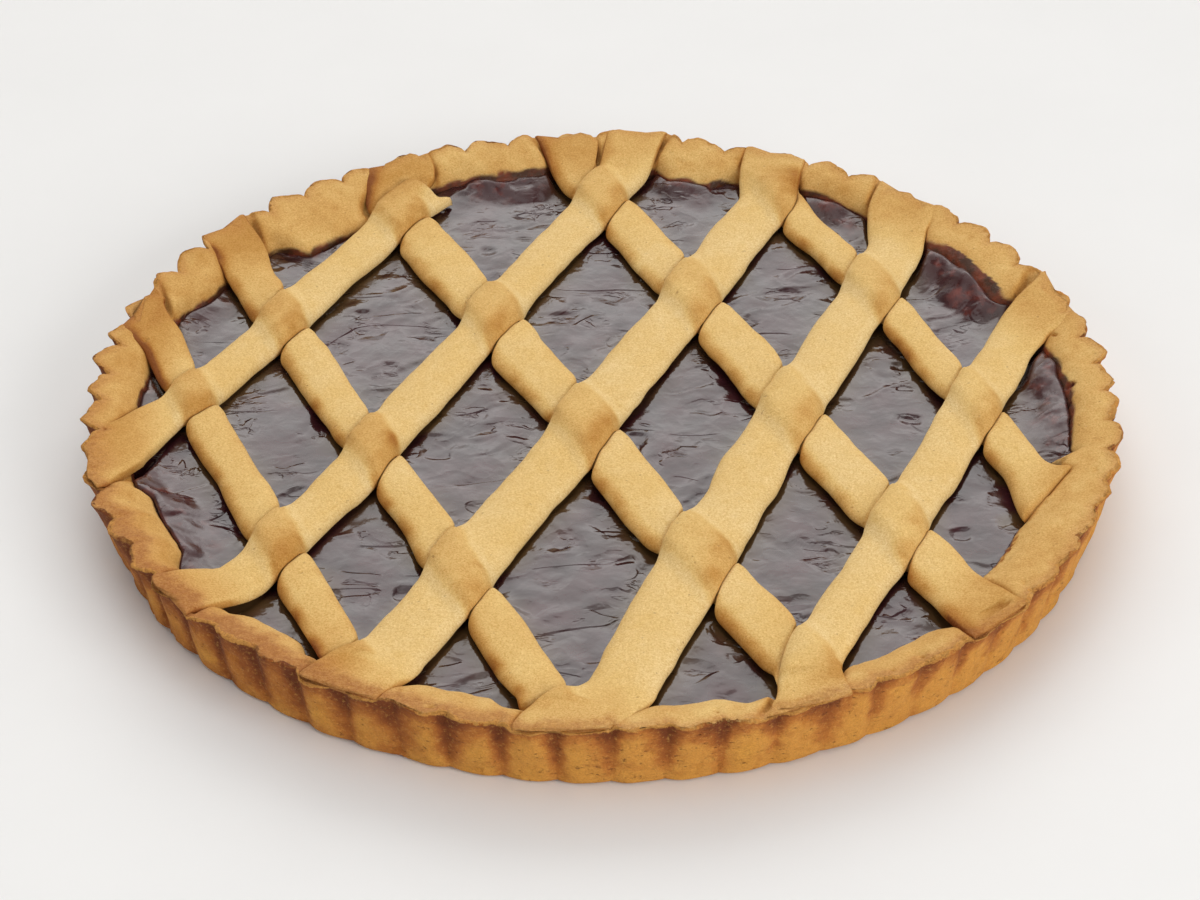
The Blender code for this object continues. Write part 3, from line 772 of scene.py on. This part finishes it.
# ------------------------------------------------------------------ jam
def jam_object():
    side = 308
    a, b = np.meshgrid(np.linspace(-1, 1, side), np.linspace(-1, 1, side))
    a, b = a.ravel(), b.ravel()
    big = np.abs(a) > np.abs(b)
    rho = np.where(big, a, b)
    safe = np.where(rho == 0, 1, rho)
    ang = np.where(big, (math.pi / 4) * b / safe, math.pi / 2 - (math.pi / 4) * a / safe)
    ux, uy = rho * np.cos(ang), rho * np.sin(ang)
    theta = np.arctan2(uy, ux)
    limit = rim_inner(theta) + 0.0004
    x, y = ux * limit, uy * limit
    r = np.hypot(x, y)
    spread = flat(x, y)
    z = JAM_Z + 0.00020 * noise(spread, 0.015, 7) + 0.00013 * noise(spread, 0.0060, 8)
    near = np.full_like(x, 1.0)
    for key in OVER_KEYS + UNDER_KEYS:
        near = np.minimum(near, outside(key, x, y))
    wall = rim_inner(theta) - r
    nearest = np.minimum(near, wall)
    z += 0.00022 * np.exp(-np.abs(nearest) / 0.0010) - 0.00012 * np.exp(
        -((nearest - 0.0035) / 0.0028) ** 2)
    z = np.where(near < 0, z - 0.0003 * smooth(-near / 0.0015), z)
    # Folds of the skin: long and soft, mostly running left to right.
    lean = np.stack([x * 0.94 + y * 0.34, (y * 0.94 - x * 0.34) * 2.2, np.zeros_like(x)], 1)
    warp = fbm(spread, 0.012, 201, 3)
    ridge = noise(lean + warp[:, None] * 0.009, 0.021, 202)
    mask = smooth((noise(spread, 0.014, 203) + 0.15) / 0.5) * smooth(nearest / 0.002)
    z += mask * (0.00020 * np.exp(-(ridge / 0.13) ** 2) - 0.00018 * np.exp(-((ridge - 0.20) / 0.10) ** 2))
    pocket = noise(spread, 0.0085, 204)
    z -= 0.0006 * smooth((pocket - 0.83) / 0.12)
    # It climbs the rim's inner face at the windows of the far side.
    degrees = np.degrees(theta)
    climb = 1.2 * np.exp(-((degrees - 34) / 12.0) ** 2) + 0.7 * np.exp(-((degrees - 59) / 6.0) ** 2) \
        + 0.5 * np.exp(-((degrees - 78) / 6.0) ** 2) + 0.8 * np.exp(-((degrees - 102) / 9.0) ** 2) \
        + 1.0 * np.exp(-((degrees - 3) / 15.0) ** 2) \
        + 0.5 * np.exp(-((np.abs(degrees) - 168) / 20.0) ** 2)
    climb = climb + 0.35 * np.exp(-((((degrees - 202) + 180) % 360 - 180) / 13.0) ** 2)
    climb = climb * smooth((near + 0.0008) / 0.0018) * (0.92 + 0.22 * noise(spread, 0.007, 215))
    reach = 0.0105 * (1 + 0.20 * noise(spread, 0.010, 223))
    z += 0.0054 * climb * smooth(1 - wall / reach)
    z += np.clip(climb, 0, 1) * smooth(1 - wall / 0.016) * (
        0.00042 * fbm(spread, 0.0060, 219, 2) + 0.00026 * noise(spread, 0.0030, 221))
    points = np.stack([x, y, z], 1)
    i, j = np.meshgrid(np.arange(side - 1), np.arange(side - 1), indexing="ij")
    base = (i * side + j).ravel()
    quads = np.stack([base, base + 1, base + side + 1, base + side], 1)
    # side wall and flat underside
    rim_ids = np.concatenate([np.arange(side), np.arange(1, side) * side + side - 1,
                              side * (side - 1) + np.arange(side - 2, -1, -1),
                              np.arange(side - 2, 0, -1) * side])
    low = points[rim_ids].copy()
    low[:, 2] = 0.0051
    count = len(rim_ids)
    low_ids = len(points) + np.arange(count)
    nxt = (np.arange(count) + 1) % count
    skirt = np.stack([rim_ids, low_ids, low_ids[nxt], rim_ids[nxt]], 1)
    centre = len(points) + count
    triangles = np.stack([low_ids, np.full(count, centre), low_ids[nxt]], 1)
    points = np.concatenate([points, low, [[0, 0, 0.0051]]])
    plan = points * np.array([1.0, 1.0, 0.0])
    wall_gap = np.concatenate([wall, np.zeros(count + 1)])
    angle = np.degrees(np.arctan2(points[:, 1], points[:, 0]))
    north = smooth((angle + 22) / 20) * (angle > -30) + smooth((np.abs(angle) - 150) / 15)
    # Red near the rim's inner face, mostly on the far side: the jam's own red where it climbs thin, partly a
    # painted reflection of the jam-stained wall.
    red_and_wall_reflection = np.exp(-np.maximum(wall_gap, 0) / 0.0030) * (0.65 + 0.5 * noise(plan, 0.007, 211))
    red_and_wall_reflection = np.clip(red_and_wall_reflection * np.clip(north + 0.25, 0, 1), 0, 1)
    climbed = np.concatenate([climb, np.zeros(count + 1)])
    red_and_wall_reflection = np.maximum(red_and_wall_reflection, np.clip(1.15 * climbed, 0, 1) * smooth(1.35 - wall_gap / (0.0100 + 0.0030 * fbm(
        plan, 0.0060, 217, 2))))
    red_and_wall_reflection = np.clip(red_and_wall_reflection, 0, 1)
    gap_all = np.concatenate([near, np.zeros(count + 1)])
    # A painted reflection of the strips: a brownish halo on the jam beside each strip's edge.
    painted_strip_reflection = np.exp(-np.maximum(gap_all, 0) / 0.0030) * smooth((noise(plan, 0.012, 213) + 0.6) / 0.8)
    return make_mesh("jam_fill", points, np.concatenate([quads, skirt]), triangles, {
        "red_and_wall_reflection": red_and_wall_reflection, "painted_strip_reflection": np.clip(painted_strip_reflection, 0, 1)})


# ------------------------------------------------------------------ materials
class Nodes:
    """A short way to write a node tree."""

    def __init__(self, name):
        self.material = bpy.data.materials.new(name)
        self.material.use_nodes = True
        self.tree = self.material.node_tree
        self.shader = self.tree.nodes["Principled BSDF"]
        self.where = self.tree.nodes.new("ShaderNodeTexCoord").outputs["Object"]

    def link(self, source, socket):
        if isinstance(source, (int, float)):
            socket.default_value = source
        elif isinstance(source, tuple):
            socket.default_value = source + (1.0,) if len(source) == 3 else source
        else:
            self.tree.links.new(source, socket)

    def value(self, name):
        node = self.tree.nodes.new("ShaderNodeAttribute")
        node.attribute_name = name
        return node.outputs["Fac"]

    def noise(self, size, detail=2.0, rough=0.5, stretch=None, turn=0.0, distort=0.0):
        node = self.tree.nodes.new("ShaderNodeTexNoise")
        where = self.where
        if stretch:
            mapping = self.tree.nodes.new("ShaderNodeMapping")
            mapping.inputs["Scale"].default_value = stretch
            mapping.inputs["Rotation"].default_value = (0, 0, turn)
            self.link(where, mapping.inputs["Vector"])
            where = mapping.outputs["Vector"]
        self.link(where, node.inputs["Vector"])
        node.inputs["Scale"].default_value = 1.0 / size
        node.inputs["Detail"].default_value = detail
        node.inputs["Roughness"].default_value = rough
        node.inputs["Distortion"].default_value = distort
        return node.outputs["Fac"]

    def math(self, operation, a, b=0.0, c=0.0, clamp=False):
        node = self.tree.nodes.new("ShaderNodeMath")
        node.operation = operation
        node.use_clamp = clamp
        for source, socket in zip((a, b, c), node.inputs):
            self.link(source, socket)
        return node.outputs[0]

    def scaled(self, source, low, high, to_low=0.0, to_high=1.0):
        node = self.tree.nodes.new("ShaderNodeMapRange")
        self.link(source, node.inputs["Value"])
        for label, number in (("From Min", low), ("From Max", high),
                              ("To Min", to_low), ("To Max", to_high)):
            node.inputs[label].default_value = number
        return node.outputs["Result"]

    def mix(self, share, a, b, kind="MIX"):
        node = self.tree.nodes.new("ShaderNodeMix")
        node.data_type = "RGBA"
        node.blend_type = kind
        self.link(share, node.inputs[0])
        self.link(a, node.inputs[6])
        self.link(b, node.inputs[7])
        return node.outputs[2]

    def ramp(self, source, stops):
        node = self.tree.nodes.new("ShaderNodeValToRGB")
        ramp = node.color_ramp
        while len(ramp.elements) < len(stops):
            ramp.elements.new(0.5)
        for element, (position, colour) in zip(ramp.elements, stops):
            element.position = position
            element.color = colour + (1.0,)
        self.link(source, node.inputs["Fac"])
        return node.outputs["Color"]

    def bump(self, height, strength, distance, normal=None):
        node = self.tree.nodes.new("ShaderNodeBump")
        node.inputs["Strength"].default_value = strength
        node.inputs["Distance"].default_value = distance
        self.link(height, node.inputs["Height"])
        if normal is not None:
            self.link(normal, node.inputs["Normal"])
        return node.outputs["Normal"]


BAKED = (
    (0.00, (0.840, 0.618, 0.290)),
    (0.22, (0.785, 0.532, 0.200)),
    (0.42, (0.690, 0.414, 0.134)),
    (0.60, (0.575, 0.302, 0.076)),
    (0.80, (0.440, 0.185, 0.036)),
    (1.00, (0.250, 0.080, 0.018)),
)


def dough_colour(n, brown):
    """Baked pastry: its tone by how brown it is, with a sandy grain, pores darkened with painted shade, and
    toasted in flecks along the outer edge."""
    coarse = n.noise(0.0030, 3.0, 0.6)
    tone = n.math("ADD", n.math("MULTIPLY", brown, 0.72),
                  n.math("MULTIPLY_ADD", coarse, 0.20, -0.10), clamp=True)
    colour = n.ramp(tone, BAKED)
    toast = n.value("toast")
    flecks = n.noise(0.0016, 4.0, 0.72)
    seared = n.math("ADD", toast, n.math("MULTIPLY_ADD", flecks, 1.3, -0.72))
    colour = n.mix(n.math("MULTIPLY", toast, 0.72), colour, (0.545, 0.240, 0.066))
    colour = n.mix(n.math("MULTIPLY", n.scaled(seared, 0.42, 0.95), 0.70), colour,
                   (0.345, 0.120, 0.034))
    grain = n.noise(0.00048, 3.0, 0.75)
    colour = n.mix(n.scaled(grain, 0.36, 0.56, 1.0, 0.0), colour, (0.82, 0.715, 0.55), "MULTIPLY")
    light = n.noise(0.00062, 3.0, 0.7)
    colour = n.mix(n.scaled(light, 0.50, 0.68, 0.0, 1.0), colour, (1.12, 1.17, 1.32), "MULTIPLY")
    # Pores: dark specks painted as shade in the tiny holes; the bump dents them too.
    pore = n.noise(0.0015, 1.0, 0.5)
    colour = n.mix(n.scaled(pore, 0.27, 0.20, 0.0, 0.40), colour, (0.33, 0.14, 0.035))
    return colour, grain, pore


def dough_bump(n, grain, pore, strength=0.75):
    height = n.math("ADD", n.math("MULTIPLY", grain, 1.1), n.math("MULTIPLY", n.noise(0.0020, 2.0), 0.8))
    height = n.math("ADD", height, n.scaled(pore, 0.18, 0.28, -0.7, 0.0))
    rough = n.math("MULTIPLY", n.value("toast"), n.noise(0.0016, 4.0, 0.7))
    height = n.math("ADD", height, n.math("MULTIPLY", rough, 2.2))
    return n.bump(height, strength, 0.00030)


def strip_material():
    n = Nodes("baked_strip")
    colour, grain, pore = dough_colour(n, n.value("brown"))
    n.link(colour, n.shader.inputs["Base Color"])
    n.link(dough_bump(n, grain, pore), n.shader.inputs["Normal"])
    n.link(n.scaled(grain, 0.3, 0.7, 0.85, 0.70), n.shader.inputs["Roughness"])
    n.shader.inputs["Specular IOR Level"].default_value = 0.14
    return n.material


def shell_material():
    n = Nodes("baked_crust")
    top, grain, pore = dough_colour(n, n.value("brown"))
    coarse = n.noise(0.0045, 4.0, 0.65)
    # How far below the top edge, measured along the surface, with a torn outline.
    torn = n.noise(0.0030, 5.0, 0.72)
    run = n.math("ADD", n.value("edge"), n.math("MULTIPLY_ADD", torn, 4.6, -2.3))
    wall_share = n.scaled(run, -0.10, 0.25)
    crumb = n.math("MULTIPLY", n.scaled(run, -0.60, -0.15), n.scaled(run, 0.80, 0.30))
    crumb = n.math("MULTIPLY", crumb, n.value("crumb"))
    toasted = n.scaled(run, 5.0, 0.8, 0.0, 0.30)
    # The dark mask holds browning and painted shade (flute valleys, left side of the wall).
    dark = n.math("ADD", n.value("dark"), n.math("MULTIPLY_ADD", coarse, 0.9, -0.45))
    dark = n.math("ADD", dark, toasted, clamp=True)
    wall = n.ramp(dark, (
        (0.00, (0.700, 0.322, 0.062)),
        (0.30, (0.525, 0.189, 0.036)),
        (0.60, (0.335, 0.099, 0.020)),
        (1.00, (0.175, 0.044, 0.012)),
    ))
    wall = n.mix(n.math("MULTIPLY", n.value("gold"), 0.85, clamp=True), wall, (0.800, 0.400, 0.066))
    wall = n.mix(n.scaled(grain, 0.35, 0.62, 0.28, 0.0), wall, (0.20, 0.06, 0.013))
    wall = n.mix(n.scaled(n.noise(0.0009, 2.0, 0.6), 0.55, 0.75, 0.0, 0.30), wall, (0.85, 0.48, 0.12))
    # Pits: dark dots painted as shade in the small hollows; the same noise dents the relief below.
    pits = n.noise(0.0019, 2.0, 0.6, stretch=(1, 1, 1.6))
    wall = n.mix(n.scaled(pits, 0.335, 0.27, 0.0, 0.60), wall, (0.14, 0.042, 0.013))
    colour = n.mix(wall_share, top, wall)
    colour = n.mix(n.math("MULTIPLY", crumb, 0.70), colour, (0.820, 0.395, 0.090))
    stained = n.mix(n.scaled(n.noise(0.0060, 3.0, 0.6), 0.42, 0.68), (0.034, 0.0065, 0.0065),
                    (0.215, 0.034, 0.016))
    colour = n.mix(n.math("MULTIPLY", n.value("stain"), 0.95), colour, stained)
    n.link(colour, n.shader.inputs["Base Color"])
    relief = n.math("ADD", n.math("MULTIPLY", crumb, 0.7), n.math("MULTIPLY", n.math(
        "MULTIPLY", wall_share, n.noise(0.0030, 4.0, 0.65)), 2.4))
    relief = n.math("ADD", relief, n.math("MULTIPLY", n.math("MULTIPLY", wall_share, n.scaled(
        pits, 0.28, 0.40)), 1.0))
    rough = n.bump(relief, 0.75, 0.00042)
    height = n.math("ADD", n.math("MULTIPLY", grain, 1.0), n.math("MULTIPLY", n.noise(0.0020, 2.0), 0.8))
    height = n.math("ADD", height, n.scaled(pore, 0.18, 0.28, -0.7, 0.0))
    height = n.math("ADD", height, n.math("MULTIPLY", n.math(
        "MULTIPLY", n.value("toast"), n.noise(0.0016, 4.0, 0.7)), 2.2))
    n.link(n.bump(height, 0.7, 0.00030, rough), n.shader.inputs["Normal"])
    gloss = n.math("MULTIPLY_ADD", n.value("stain"), -0.64, 0.80)
    n.link(gloss, n.shader.inputs["Roughness"])
    n.shader.inputs["Specular IOR Level"].default_value = 0.20
    return n.material


def jam_material():
    n = Nodes("jam_skin")
    blotch = n.noise(0.010, 3.0, 0.6)
    dark = n.mix(n.scaled(blotch, 0.35, 0.70), (0.024, 0.0070, 0.0090), (0.050, 0.012, 0.016))
    # The painted reflection of the strips: brownish halos on the jam beside their edges.
    dark = n.mix(n.math("MULTIPLY", n.value("painted_strip_reflection"), 0.8), dark, (0.095, 0.055, 0.020))
    # Brighter orange patches in the red band: painted glints over the jam's dark red.
    glow = n.mix(n.scaled(n.noise(0.0055, 3.0, 0.6), 0.53, 0.70), (0.050, 0.0085, 0.0085),
                 (0.170, 0.024, 0.011))
    # The red band near the far walls: the jam's own red, partly a painted reflection of the stained wall.
    dark = n.mix(n.math("MULTIPLY", n.value("red_and_wall_reflection"), 0.85), dark, glow)
    n.link(dark, n.shader.inputs["Base Color"])
    # A few long creases, a patch of finer wrinkles here and there, soft ripples.
    longs = n.noise(0.024, 2.0, 0.50, stretch=(0.50, 1.15, 1.0), turn=-0.42, distort=1.1)
    crease = n.scaled(longs, 0.488, 0.512, 1.0, 0.0)
    crease = n.math("MULTIPLY", crease, n.scaled(n.noise(0.013, 1.0), 0.46, 0.58))
    fine = n.noise(0.0075, 3.0, 0.55, stretch=(0.7, 1.1, 1.0), turn=0.35, distort=0.6)
    wrinkle = n.scaled(fine, 0.465, 0.525, 1.0, 0.0)
    wrinkle = n.math("MULTIPLY", wrinkle, n.scaled(n.noise(0.013, 1.0), 0.545, 0.66))
    ripple = n.noise(0.0085, 2.0, 0.42, distort=0.5)
    height = n.math("MULTIPLY_ADD", crease, -1.1, n.math("MULTIPLY", wrinkle, -0.80))
    height = n.math("ADD", height, n.math("MULTIPLY", ripple, 1.7))
    small = n.noise(0.0036, 2.0, 0.55, distort=0.4)
    height = n.math("ADD", height, n.math("MULTIPLY", small, 0.55))
    height = n.math("ADD", height, n.math("MULTIPLY", n.noise(0.030, 1.0), 7.0))
    n.link(n.bump(height, 0.60, 0.00050), n.shader.inputs["Normal"])
    gloss = n.scaled(n.noise(0.006, 2.0), 0.3, 0.7, 0.10, 0.19)
    streaks = n.math("MULTIPLY", n.value("red_and_wall_reflection"), n.scaled(n.noise(0.0040, 3.0, 0.6), 0.42, 0.56, 0.34, 0.06))
    n.link(n.math("ADD", gloss, streaks), n.shader.inputs["Roughness"])
    n.shader.inputs["IOR"].default_value = 1.47
    n.shader.inputs["Specular IOR Level"].default_value = 0.6
    return n.material


# ------------------------------------------------------------------ pieces
def attach(piece, node, material):
    piece.data.materials.append(material)
    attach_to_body(piece, "root")
    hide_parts(node)


crust_finish, strip_finish, jam_finish = shell_material(), strip_material(), jam_material()
attach(shell_object(), "crust_shell", crust_finish)
for number in range(1, 6):
    attach(strip_object("over_%d" % number, "lattice_over_%d" % number),
           "strip_over_%d" % number, strip_finish)
    attach(strip_object("under_%d" % number, "lattice_under_%d" % number),
           "strip_under_%d" % number, strip_finish)
attach(jam_object(), "jam", jam_finish)

# ------------------------------------------------------------------ floor, light, camera
bpy.ops.mesh.primitive_plane_add(size=6.0, location=(0, 0, -0.0003))
floor = bpy.context.object
floor.name = "floor"
paper = Nodes("floor_paper")
paper.link(paper.mix(paper.noise(0.05, 3.0), (0.80, 0.795, 0.785), (0.84, 0.835, 0.825)),
           paper.shader.inputs["Base Color"])
paper.shader.inputs["Roughness"].default_value = 0.8
floor.data.materials.append(paper.material)


def area_light(name, place, target, width, height, power, colour=(1, 1, 1)):
    light = bpy.data.lights.new(name, "AREA")
    light.shape = "RECTANGLE"
    light.size, light.size_y = width, height
    light.energy = power
    light.color = colour
    made = bpy.data.objects.new(name, light)
    bpy.context.scene.collection.objects.link(made)
    made.location = place
    made.rotation_euler = (Vector(target) - Vector(place)).to_track_quat("-Z", "Y").to_euler()
    return made


# A bright side behind the tart, whose reflection greys the jam's skin, a soft light
# overhead and one from the front right.
area_light("window", (0.0, 1.35, 1.05), (0, 0, 0), 1.7, 1.1, 7.9)
area_light("overhead", (-0.15, -0.15, 1.7), (0, 0, 0), 1.5, 1.2, 6.5)
area_light("front", (1.25, -1.35, 0.90), (0, 0, 0.01), 1.4, 0.9, 23.0)
area_light("fill", (-1.45, -0.75, 1.05), (0, 0, 0.01), 1.4, 0.9, 5.0)

world = bpy.data.worlds.new("studio")
bpy.context.scene.world = world
world.use_nodes = True
sky = world.node_tree
towards = sky.nodes.new("ShaderNodeTexCoord")
facing = sky.nodes.new("ShaderNodeVectorMath")
facing.operation = "DOT_PRODUCT"
facing.inputs[1].default_value = (0.0, 0.800, 0.600)
sky.links.new(towards.outputs["Generated"], facing.inputs[0])
lobe = sky.nodes.new("ShaderNodeMapRange")
lobe.interpolation_type = "SMOOTHSTEP"
for label, number in (("From Min", 0.72), ("From Max", 0.985), ("To Min", 0.24), ("To Max", 1.6)):
    lobe.inputs[label].default_value = number
sky.links.new(facing.outputs["Value"], lobe.inputs["Value"])
sky.nodes["Background"].inputs["Color"].default_value = (1.0, 0.980, 0.955, 1.0)
sky.links.new(lobe.outputs["Result"], sky.nodes["Background"].inputs["Strength"])

camera_data = bpy.data.cameras.new("camera")
camera_data.sensor_width = 36.0
camera_data.lens = 95.32
camera = bpy.data.objects.new("camera", camera_data)
bpy.context.scene.collection.objects.link(camera)
camera.location = (-0.00057, -0.7046, 0.5126)
camera.rotation_euler = (math.radians(90 - 35.91), 0.0, 0.0)
bpy.context.scene.camera = camera
bpy.context.scene.view_settings.view_transform = "Standard"
